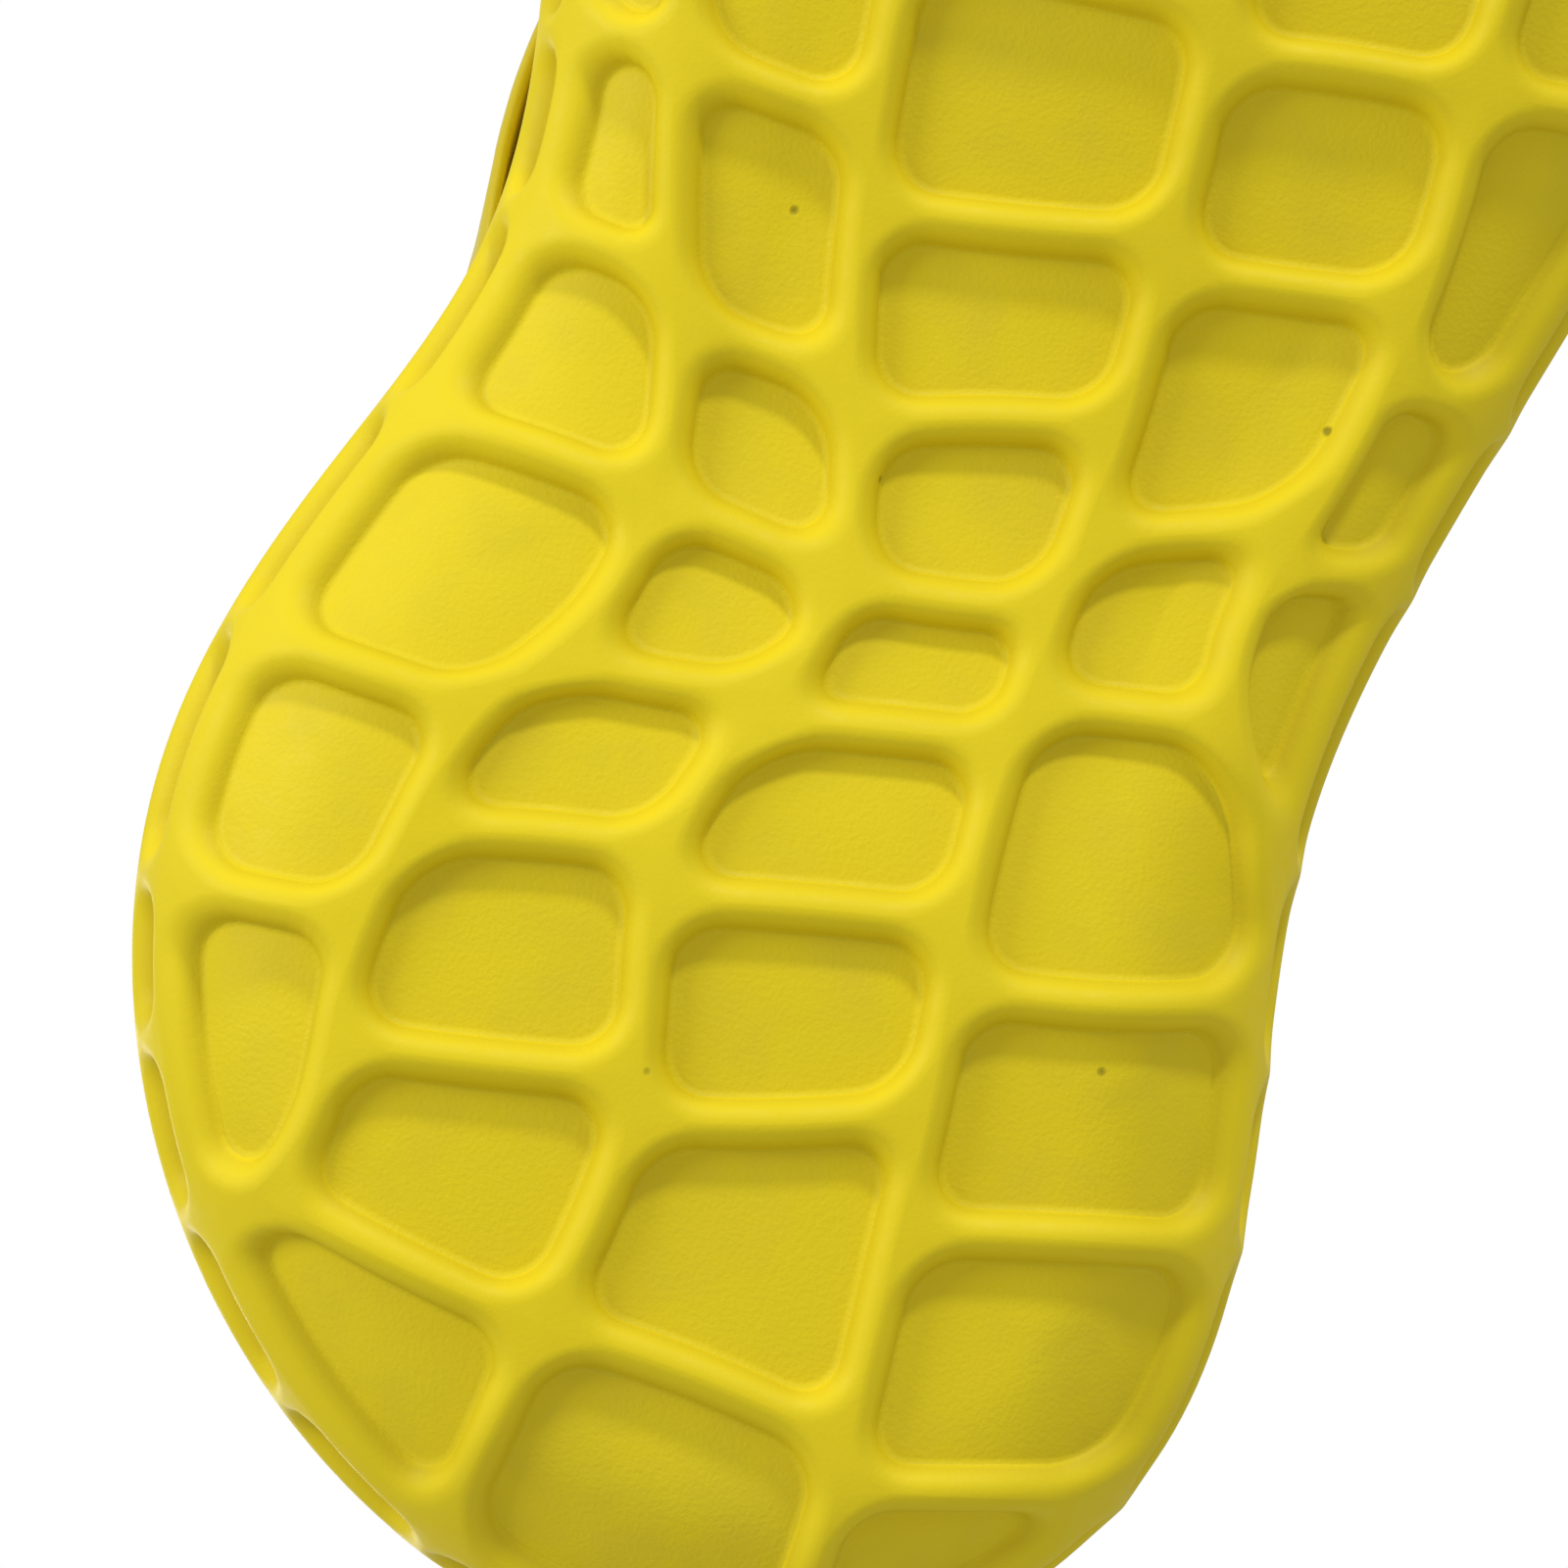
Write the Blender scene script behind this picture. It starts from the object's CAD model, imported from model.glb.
"""Looks of the rubber garden clog: a yellow moulded rubber clog for the left foot, seen from below its heel.

Lengths in the tables and helpers are millimetres in the part's frame; meshes are made in metres.
"""

import math

import bmesh
import bpy
import numpy as np
from mathutils import Matrix, Vector


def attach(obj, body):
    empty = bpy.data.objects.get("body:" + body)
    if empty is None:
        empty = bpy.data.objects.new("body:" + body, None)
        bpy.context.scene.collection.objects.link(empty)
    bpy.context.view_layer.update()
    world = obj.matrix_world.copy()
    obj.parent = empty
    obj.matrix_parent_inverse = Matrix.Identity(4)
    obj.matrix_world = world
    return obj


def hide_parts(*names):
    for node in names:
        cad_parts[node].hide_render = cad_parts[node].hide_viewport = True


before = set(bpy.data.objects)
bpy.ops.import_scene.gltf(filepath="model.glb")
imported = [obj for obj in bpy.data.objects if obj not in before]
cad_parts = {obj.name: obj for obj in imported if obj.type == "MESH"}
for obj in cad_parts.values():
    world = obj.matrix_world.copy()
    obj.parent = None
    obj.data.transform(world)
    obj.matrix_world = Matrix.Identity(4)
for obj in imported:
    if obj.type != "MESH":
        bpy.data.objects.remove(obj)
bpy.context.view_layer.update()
MM = 0.001

# --- Shape of the clog ---

LENGTH = 285.0
EDGE_HEIGHT = 18.0
EDGE_POWER = 2.3
RIM_LEAN = 3.0
CUP_WALL = 5.0
CUP_TOP = 42.0
NET_DEPTH = 2.0
RIB_WIDTH = 3.8
CELL_CORNER = 3.4
SHELL = 2.6
LINING_IN = 5.1
GAP = 0.3
GUARD = 1.6
LEDGE_REACH = 5.0
LEDGE_WIDTH = 38.0

# Plan outline of the outsole, from the back of the heel up the inner side to the toe and back down the other.
OUTLINE = [
    (-5, 0), (18.5, 8.6), (36.3, 28.4), (42.7, 52), (38.2, 75), (32, 96), (35.5, 122), (45.5, 155),
    (51.3, 190), (47.5, 228), (32, 263), (5, 283.6), (-21, 275.5), (-42, 251), (-53.5, 213),
    (-56.8, 172), (-50.5, 130), (-42.8, 97), (-39.8, 74), (-43.4, 50), (-43.8, 27), (-31, 7.4),
]  # fmt: skip
EDGE_WIDTH = [18, 19, 20, 20, 20, 21, 20, 20, 20, 22, 26, 31, 28, 24, 19, 17, 17, 17, 17, 17, 17, 17]
OFFSET_X = -(max(x for x, y in OUTLINE) + min(x for x, y in OUTLINE)) / 2


def placed(points):
    """Drawn plan points, with y counted from the heel, in the part's frame."""
    return np.array([(x + OFFSET_X, y - LENGTH / 2) for x, y in points], float)


def spline(points, closed=False, knots=None):
    """A cubic spline through points, as a function of distance along its chords, and its whole length."""
    p = np.asarray(points, float)
    if closed:
        p = np.vstack([p, p[:1]])
    step = np.linalg.norm(np.diff(p, axis=0), axis=1) if knots is None else np.diff(knots)
    at = np.concatenate([[0], np.cumsum(step)])
    n = len(step)
    size = n if closed else n + 1
    a, r = np.zeros((size, size)), np.zeros((size, p.shape[1]))
    for i in range(size):
        if not closed and i in (0, n):
            a[i, i] = 1
            continue
        before, after = step[i - 1], step[i % n]
        a[i, (i - 1) % size] += before
        a[i, i] += 2 * (before + after)
        a[i, (i + 1) % size] += after
        r[i] = 6 * ((p[i + 1] - p[i]) / after - (p[i] - (p[i - 1] if i else p[n - 1])) / before)
    m = np.linalg.solve(a, r)
    if closed:
        m = np.vstack([m, m[:1]])

    def value(q):
        q = np.asarray(q, float)
        q = np.mod(q, at[-1]) if closed else np.clip(q, 0, at[-1])
        i = np.clip(np.searchsorted(at, q, side="right") - 1, 0, n - 1)
        h, lo, hi = step[i], q - at[i], at[i + 1] - q
        h, lo, hi = h[..., None], lo[..., None], hi[..., None]
        bend = (m[i] * hi**3 + m[i + 1] * lo**3) / (6 * h)
        return bend + (p[i] / h - m[i] * h / 6) * hi + (p[i + 1] / h - m[i + 1] * h / 6) * lo

    return value, at[-1], at


PLAN_AT, PLAN_LENGTH, PLAN_KNOTS = spline(placed(OUTLINE), closed=True)
WIDTH_AT = spline(np.array(EDGE_WIDTH, float)[:, None], closed=True, knots=PLAN_KNOTS)[0]


def plan_frame(s):
    """At distances s: point on the outline, unit normal into the outline and width of the rounded edge."""
    s = np.asarray(s, float)
    ahead, behind = PLAN_AT(s + 0.3), PLAN_AT(s - 0.3)
    along = ahead - behind
    along /= np.linalg.norm(along, axis=-1, keepdims=True)
    return PLAN_AT(s), np.stack([-along[..., 1], along[..., 0]], -1), WIDTH_AT(s)[..., 0]


DENSE_S = np.linspace(0, PLAN_LENGTH, 2400, endpoint=False)
DENSE_POINT, DENSE_NORMAL, _ = plan_frame(DENSE_S)


def nearest(points):
    """Nearest distance along the outline for plan points, and how far inside it they are."""
    s, depth = [], []
    for chunk in np.array_split(points, max(1, len(points) // 2000)):
        gap = chunk[:, None, :] - DENSE_POINT[None]
        i = (gap**2).sum(-1).argmin(1)
        gap, normal = gap[np.arange(len(i)), i], DENSE_NORMAL[i]
        s.append(DENSE_S[i] + (gap * np.stack([normal[:, 1], -normal[:, 0]], -1)).sum(-1))
        depth.append((gap * normal).sum(-1))
    return np.concatenate(s), np.concatenate(depth)


def swell(xy):
    """How far the resting tread rises off the ground: the arch, and a slight crown across."""
    y = xy[:, 1] + LENGTH / 2
    t = np.clip(np.interp(y, [50, 97, 150], [0, 1, 2]), 0, 2)
    arch = 3.25 * (1 - np.cos(np.pi * t))
    middle = np.interp(y, [0, 60, 96, 190, 285], [2.0, 1.5, 0.0, 0.5, -3.0])
    crown = 1.6 * (np.abs(xy[:, 0] - middle) / 40) ** 2
    back = 1.5 * (np.clip(34 - y, 0, None) / 34) ** 2
    return arch + crown + back


def tread_surface(xy):
    """Points of the tread's outer skin and its outward normals, for plan points inside the outline."""
    s, inside = nearest(xy)
    _, normal, width = plan_frame(s)
    u = np.clip((width - inside) / width, 0, 0.9999)
    drop = (1 - u**EDGE_POWER) ** (1 / EDGE_POWER)
    z = EDGE_HEIGHT * (1 - drop)
    slope = EDGE_HEIGHT * u ** (EDGE_POWER - 1) * drop ** (1 - EDGE_POWER) / width
    out = np.column_stack([-normal * slope[:, None], -np.ones(len(s))])
    out /= np.linalg.norm(out, axis=1, keepdims=True)
    fade = np.clip(1 - u, 0, 1) ** 0.5
    return np.column_stack([xy, z + swell(xy) * fade]), out


def wall_profile(width, start):
    """Side wall section from a depth inside the outline up to the rim: (inset, height) and distance along it."""
    rise0 = 1 - (1 - ((width - start) / width) ** EDGE_POWER) ** (1 / EDGE_POWER)
    rise = 1 - np.linspace(1, 0, 40) ** 1.5 * (1 - rise0)
    inset = width * (1 - (1 - (1 - rise) ** EDGE_POWER) ** (1 / EDGE_POWER))
    z = EDGE_HEIGHT * rise
    up = np.linspace(0, 1, 24)[1:]
    inset = np.concatenate([inset, RIM_LEAN * up**1.6])
    z = np.concatenate([z, EDGE_HEIGHT + (CUP_TOP - EDGE_HEIGHT) * up])
    v = np.concatenate([[0], np.cumsum(np.hypot(np.diff(inset), np.diff(z)))])
    return inset, z, v


# --- Net of the outsole: lines of the ribs ---

RING_INSET = 1.8
# Lengthwise ribs from heel to toe, drawn like the outline. Each starts and ends on the ring round the tread.
RIBS_ALONG = [
    [(33, 19), (27, 24), (24.6, 32), (25.4, 42), (24.4, 52), (21.5, 63), (16.5, 71), (14.6, 80), (15.6, 89),
     (19.4, 100), (23, 112), (26.5, 128), (30.5, 150), (32, 180), (30.5, 210), (26, 236), (20, 262), (17, 285)],
    [(6.6, 0), (5.4, 12), (3.8, 24), (2.6, 36), (4.2, 46), (6, 56), (3.6, 66), (0.4, 75), (0.2, 83),
     (3.2, 93), (6.4, 105), (8.6, 118), (10.4, 135), (12.2, 158), (12.6, 188), (10.4, 222), (7, 250), (4, 290)],
    [(-20.6, 0), (-20.2, 12), (-19.2, 24), (-18.2, 37), (-17, 50), (-15.6, 62), (-15.4, 74), (-15.9, 86),
     (-16.3, 98), (-15.6, 110), (-14.2, 124), (-12.4, 142), (-10.6, 168), (-9.8, 198), (-10, 228),
     (-11, 255), (-11, 290)],
    [(-43, 65), (-38, 70), (-32.6, 76), (-29.6, 83), (-30.6, 91), (-33, 100), (-34.2, 109), (-34.4, 118),
     (-33.2, 130), (-33.4, 150), (-33.2, 180), (-30.4, 210), (-27.6, 236), (-27, 258), (-29, 280)],
]  # fmt: skip
# Cross ribs between each pair of neighbouring lines, as (y at the inner end, y at the outer end).
RIBS_ACROSS = [
    [(44, 46), (63, 62.5), (82, 81), (98.5, 97.5), (112, 112.5)],
    [(24.6, 22), (36.5, 41), (52.5, 57), (68, 70.5), (80, 79.5), (94, 93.5), (112.6, 112)],
    [(21, 20.4), (38, 45), (53.5, 58.5), (68, 72), (77.5, 82.5), (90.5, 96.5), (106, 111)],
    [(17, 22), (36, 42), (54, 60), (75, 78), (88, 94.5), (108.5, 112), (124, 127.5)],
    [(90, 92), (106.5, 106), (126, 129)],
]
ROW_PITCH = [18.0, 17.4, 18.4, 18.6, 18.2]
ROW_SLANT = [1.5, -2.0, 2.5, 2.0, -1.5]
STEP = 1.35  # spacing of points along the ribs
WALL_NET_TOP = 17.2  # height of the rib over the side wall's cells
UPRIGHT_LEAST, UPRIGHT_MOST = 12.5, 25  # spacing of the side wall's upright ribs
RIM_ROUND = 1.6  # radius of the cup's rim
MERGE = 2.2  # junctions closer than this on one rib become one


class Net:
    """Points and links of the ribs' centre lines in one plane."""

    def __init__(self):
        self.points = []
        self.links = {}

    def point(self, xy):
        self.points.append((float(xy[0]), float(xy[1])))
        self.links[len(self.points) - 1] = []
        return len(self.points) - 1

    def link(self, run):
        for a, b in zip(run, run[1:]):
            self.links[a].append(b)
            self.links[b].append(a)

    def between(self, a, b, path):
        """Adds a rib from point a to point b along a path given as a function of 0 to 1."""
        length = np.linalg.norm(np.diff(path(np.linspace(0, 1, 30)), axis=0), axis=1).sum()
        count = max(2, round(length / STEP))
        inner = [self.point(path(np.array(k / count))) for k in range(1, count)]
        self.link([a, *inner, b])

    def faces(self):
        """Every cell as a loop of point numbers, anticlockwise."""
        p = self.points
        order = {}
        for a, near in self.links.items():
            order[a] = sorted(near, key=lambda b: math.atan2(p[b][1] - p[a][1], p[b][0] - p[a][0]))
        seen, found = set(), []
        for a in order:
            for b in order[a]:
                if (a, b) in seen:
                    continue
                loop, u, v = [], a, b
                while (u, v) not in seen:
                    seen.add((u, v))
                    loop.append(u)
                    ring = order[v]
                    u, v = v, ring[ring.index(u) - 1]
                q = np.array([p[i] for i in loop])
                area = 0.5 * np.sum(q[:, 0] * np.roll(q[:, 1], -1) - np.roll(q[:, 0], -1) * q[:, 1])
                if area > 1:
                    found.append(loop)
        return found


def ring_points():
    s = np.linspace(0, PLAN_LENGTH, 1600, endpoint=False)
    point, normal, _ = plan_frame(s)
    return s, point + normal * RING_INSET


def tread_net():
    """The net of the tread, with the ring's point numbers in order and their distances along the outline."""
    net = Net()
    ring_s, ring_xy = ring_points()
    lines = []
    for drawn in RIBS_ALONG:
        at, total, _ = spline(placed(drawn))
        q = np.linspace(0, total, 1500)
        xy = at(q)
        _, inside = nearest(xy)
        within = np.nonzero(inside > RING_INSET)[0]
        lines.append(xy[within[0] - 1 : within[-1] + 2])
    toe = int(ring_xy[:, 1].argmax())
    inner_side = (ring_s[:toe], ring_xy[:toe])
    outer_side = (ring_s[toe:], ring_xy[toe:])
    stops = {"ring": []}
    for k, line in enumerate(lines):
        stops[k] = []

    def on_line(k, y):
        return int(np.abs(lines[k][:, 1] - y).argmin())

    def on_ring(side, y):
        s, xy = side
        return float(s[np.abs(xy[:, 1] - y).argmin()])

    def ring_near(xy):
        return float(ring_s[((ring_xy - xy) ** 2).sum(1).argmin()])

    ribs = []
    for column, rows in enumerate(RIBS_ACROSS):
        rows = [(a - LENGTH / 2, b - LENGTH / 2) for a, b in rows]
        while rows[-1][0] < LENGTH / 2 - 20:
            k = len(rows)
            shift = ROW_PITCH[column] + (0.9 if k % 2 else -0.7)
            a = rows[-1][0] + shift
            rows.append((a, a + ROW_SLANT[column] * (1 if k % 2 else 0.4)))
        for k, (a, b) in enumerate(rows):
            ends = []
            for line, side, y in ((column - 1, inner_side, a), (column, outer_side, b)):
                at_ring = not 0 <= line < len(lines) or y < lines[line][0][1]
                ends.append(("ring", on_ring(side, y)) if at_ring else (line, on_line(line, y)))
            clear = [w == "ring" or lines[w][v][1] < lines[w][-1][1] - 8 for w, v in ends]
            if k < len(RIBS_ACROSS[column]) or all(clear):
                ribs.append(tuple(ends))
    for k, line in enumerate(lines):
        stops["ring"] += [ring_near(line[0]), ring_near(line[-1])]
        stops[k] += [0, len(line) - 1]
    for left, right in ribs:
        for where, value in (left, right):
            stops[where].append(value)

    def merged(values, gap, keep):
        """Junction places along one rib, with close ones drawn together."""
        out = {}
        groups = []
        for value in sorted(set(values)):
            if groups and value - groups[-1][-1] < gap:
                groups[-1].append(value)
            else:
                groups.append([value])
        for group in groups:
            fixed = [v for v in group if v in keep]
            for v in group:
                out[v] = fixed[0] if fixed else group[len(group) // 2]
        return out

    numbers = {}
    ring_keep = [ring_near(line[i]) for line in lines for i in (0, -1)]
    place = merged(stops["ring"], 4.0, ring_keep)
    sites = sorted(set(place.values()))
    ring_run = []
    for a, b in zip(sites, sites[1:] + [sites[0] + PLAN_LENGTH]):
        count = max(2, round((b - a) / STEP))
        for k in range(count):
            s = (a + (b - a) * k / count) % PLAN_LENGTH
            point, normal, _ = plan_frame(s)
            ring_run.append((s, net.point(point + normal * RING_INSET), k == 0))
    order = [n for _, n, _ in ring_run]
    net.link(order + [order[0]])
    site_number = {s: n for s, n, first in ring_run if first}
    for value, target in place.items():
        numbers["ring", value] = site_number[target % PLAN_LENGTH]
    for k, line in enumerate(lines):
        spacing = np.linalg.norm(np.diff(line, axis=0), axis=1).mean()
        place = merged(stops[k], MERGE / spacing, [0, len(line) - 1])
        for value, target in place.items():
            if target == 0:
                numbers[k, value] = numbers["ring", ring_near(line[0])]
            elif target == len(line) - 1:
                numbers[k, value] = numbers["ring", ring_near(line[-1])]
            elif (k, target) not in numbers:
                numbers[k, target] = net.point(line[target])
            numbers.setdefault((k, value), numbers.get((k, target)))
        targets = sorted(set(place.values()))
        for a, b in zip(targets, targets[1:]):
            ends = [np.array(net.points[numbers[k, t]]) for t in (a, b)]
            part = line[a : b + 1]
            shift = np.linspace(0, 1, len(part))[:, None]
            part = part + (ends[0] - part[0]) * (1 - shift) + (ends[1] - part[-1]) * shift

            def path(t, part=part):
                q = np.asarray(t, float) * (len(part) - 1)
                return np.stack([np.interp(q, np.arange(len(part)), part[:, i]) for i in (0, 1)], -1)

            net.between(numbers[k, a], numbers[k, b], path)
    for n, (left, right) in enumerate(ribs):
        a, b = numbers[left], numbers[right]
        pa, pb = np.array(net.points[a]), np.array(net.points[b])
        across = np.array([-(pb - pa)[1], (pb - pa)[0]])
        bow = 0.035 * math.sin(2.4 * n + 0.7)

        def path(t, pa=pa, pb=pb, across=across, bow=bow):
            t = np.asarray(t, float)[..., None]
            return pa + (pb - pa) * t + across * bow * 4 * t * (1 - t)

        net.between(a, b, path)
    return net, ring_run


# --- Net of the outsole: one cell ---

LEVELS = [2.0, 1.5, 1.05, 0.7, 0.42, 0.2, 0.06, 0.0, -0.5]  # distances outside the cell's floor
INNER = [0.5, 0.82]  # further rings, as parts of the way to the middle


def bead(outside):
    """Height of a rib over the floor at some distance outside the floor: a rounded bead."""
    w = np.clip(outside / (RIB_WIDTH / 2), 0, 1)
    return NET_DEPTH * (1 - (1 - w) ** 2.2) ** 0.8


def distance_to(points, run):
    """Distance from each point to a run of straight pieces."""
    a, b = run[:-1], run[1:]
    ab = b - a
    t = np.clip(((points[:, None] - a) * ab).sum(-1) / (ab**2).sum(-1), 0, 1)
    return np.linalg.norm(points[:, None] - (a + ab * t[..., None]), axis=-1).min(1)


def cell_sides(loop, corner_angle=32):
    """A cell's boundary split at its corners into sides."""
    n = len(loop)
    reach = 2
    back, on = loop - np.roll(loop, reach, 0), np.roll(loop, -reach, 0) - loop
    turn = np.degrees(np.arctan2(back[:, 0] * on[:, 1] - back[:, 1] * on[:, 0], (back * on).sum(1)))
    turn = np.abs(turn)
    sharpest = (turn >= np.roll(turn, 1)) & (turn >= np.roll(turn, -1))
    corners = np.nonzero((turn > corner_angle) & sharpest)[0].tolist()
    if len(corners) < 2:
        return [np.vstack([loop, loop[:1]])]
    sides = []
    for a, b in zip(corners, corners[1:] + [corners[0] + n]):
        if b - a > 1:
            sides.append(loop[np.arange(a, b + 1) % n])
    return sides


def cell_rings(loop):
    """Rings of a cell from its boundary inwards: plan points and heights, and its middle point."""
    sides = cell_sides(loop)
    q = loop
    cross = q[:, 0] * np.roll(q[:, 1], -1) - np.roll(q[:, 0], -1) * q[:, 1]
    middle = ((q + np.roll(q, -1, 0)) * cross[:, None]).sum(0) / (3 * cross.sum())
    room = min(distance_to(middle[None], side)[0] for side in sides) - RIB_WIDTH / 2
    radius = max(0.3, min(CELL_CORNER, room * 0.9))
    t = np.linspace(0, 0.985, 90)
    rays = loop[None] + (middle - loop)[None] * t[:, None, None]
    flat = rays.reshape(-1, 2)
    over = np.stack([RIB_WIDTH / 2 + radius - distance_to(flat, side) for side in sides], -1)
    outside = np.where(
        over.max(-1) > 0, np.sqrt((np.clip(over, 0, None) ** 2).sum(-1)) - radius, over.max(-1) - radius
    ).reshape(len(t), -1)
    outside = np.minimum.accumulate(outside, axis=0)
    rings, last = [], np.zeros(len(loop))
    for level in LEVELS:
        at = np.array([np.interp(-level, -outside[:, i], t) for i in range(len(loop))])
        last = np.maximum(last + 0.004, at)
        rings.append((last.copy(), np.full(len(loop), float(bead(np.array(max(level, 0)))))))
    for part in INNER:
        rings.append((last + (1 - last) * part, np.zeros(len(loop))))
    edge = bead(outside[0])
    return [(np.zeros(len(loop)), edge)] + rings, middle


class Surface:
    """Collects the points and faces of one mesh."""

    def __init__(self):
        self.co, self.faces, self.relief = [], [], []

    def add(self, co, relief=None):
        """Adds points and gives their numbers. relief is 0 on a cell's floor and 1, its usual value, on a rib."""
        first = len(self.co)
        self.co.extend(map(tuple, co))
        self.relief.extend([1.0] * len(co) if relief is None else relief)
        return list(range(first, first + len(co)))

    def strip(self, a, b, closed=True):
        n = len(a)
        for i in range(n if closed else n - 1):
            j = (i + 1) % n
            self.faces.append((a[i], a[j], b[j], b[i]))

    def fan(self, ring, tip):
        """Fills a ring with triangles that meet at one point."""
        for i in range(len(ring)):
            self.faces.append((ring[i], ring[(i + 1) % len(ring)], tip))

    def close(self, ring):
        """Fills a long ring with triangles across it."""
        y = [self.co[i][1] for i in ring]
        n, low, high = len(ring), int(np.argmin(y)), int(np.argmax(y))
        one = [ring[(low + k) % n] for k in range((high - low) % n + 1)]
        other = [ring[(low - k) % n] for k in range((low - high) % n + 1)]
        i = j = 0
        while i < len(one) - 1 or j < len(other) - 1:
            done = j == len(other) - 1
            first = i < len(one) - 1 and (done or self.co[one[i + 1]][1] <= self.co[other[j + 1]][1])
            made = (one[i], one[i + 1], other[j]) if first else (one[i], other[j + 1], other[j])
            i, j = (i + 1, j) if first else (i, j + 1)
            if len(set(made)) == 3:
                self.faces.append(made)

    def strips_closed(self, rings):
        for a, b in zip(rings, rings[1:]):
            self.strip(a, b)


def add_cell(surface, loop_numbers, loop, lift):
    """Adds one cell inside a loop of existing points. lift(plan points, heights) gives points in space."""
    rings, middle = cell_rings(loop)
    rows = [loop_numbers]
    for along, height in rings[1:]:
        xy = loop + (middle - loop) * along[:, None]
        rows.append(surface.add(lift(xy, height), height / NET_DEPTH))
    tip = surface.add(lift(middle[None], np.zeros(1)), [0.0])[0]
    surface.strips_closed(rows)
    surface.fan(rows[-1], tip)


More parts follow.
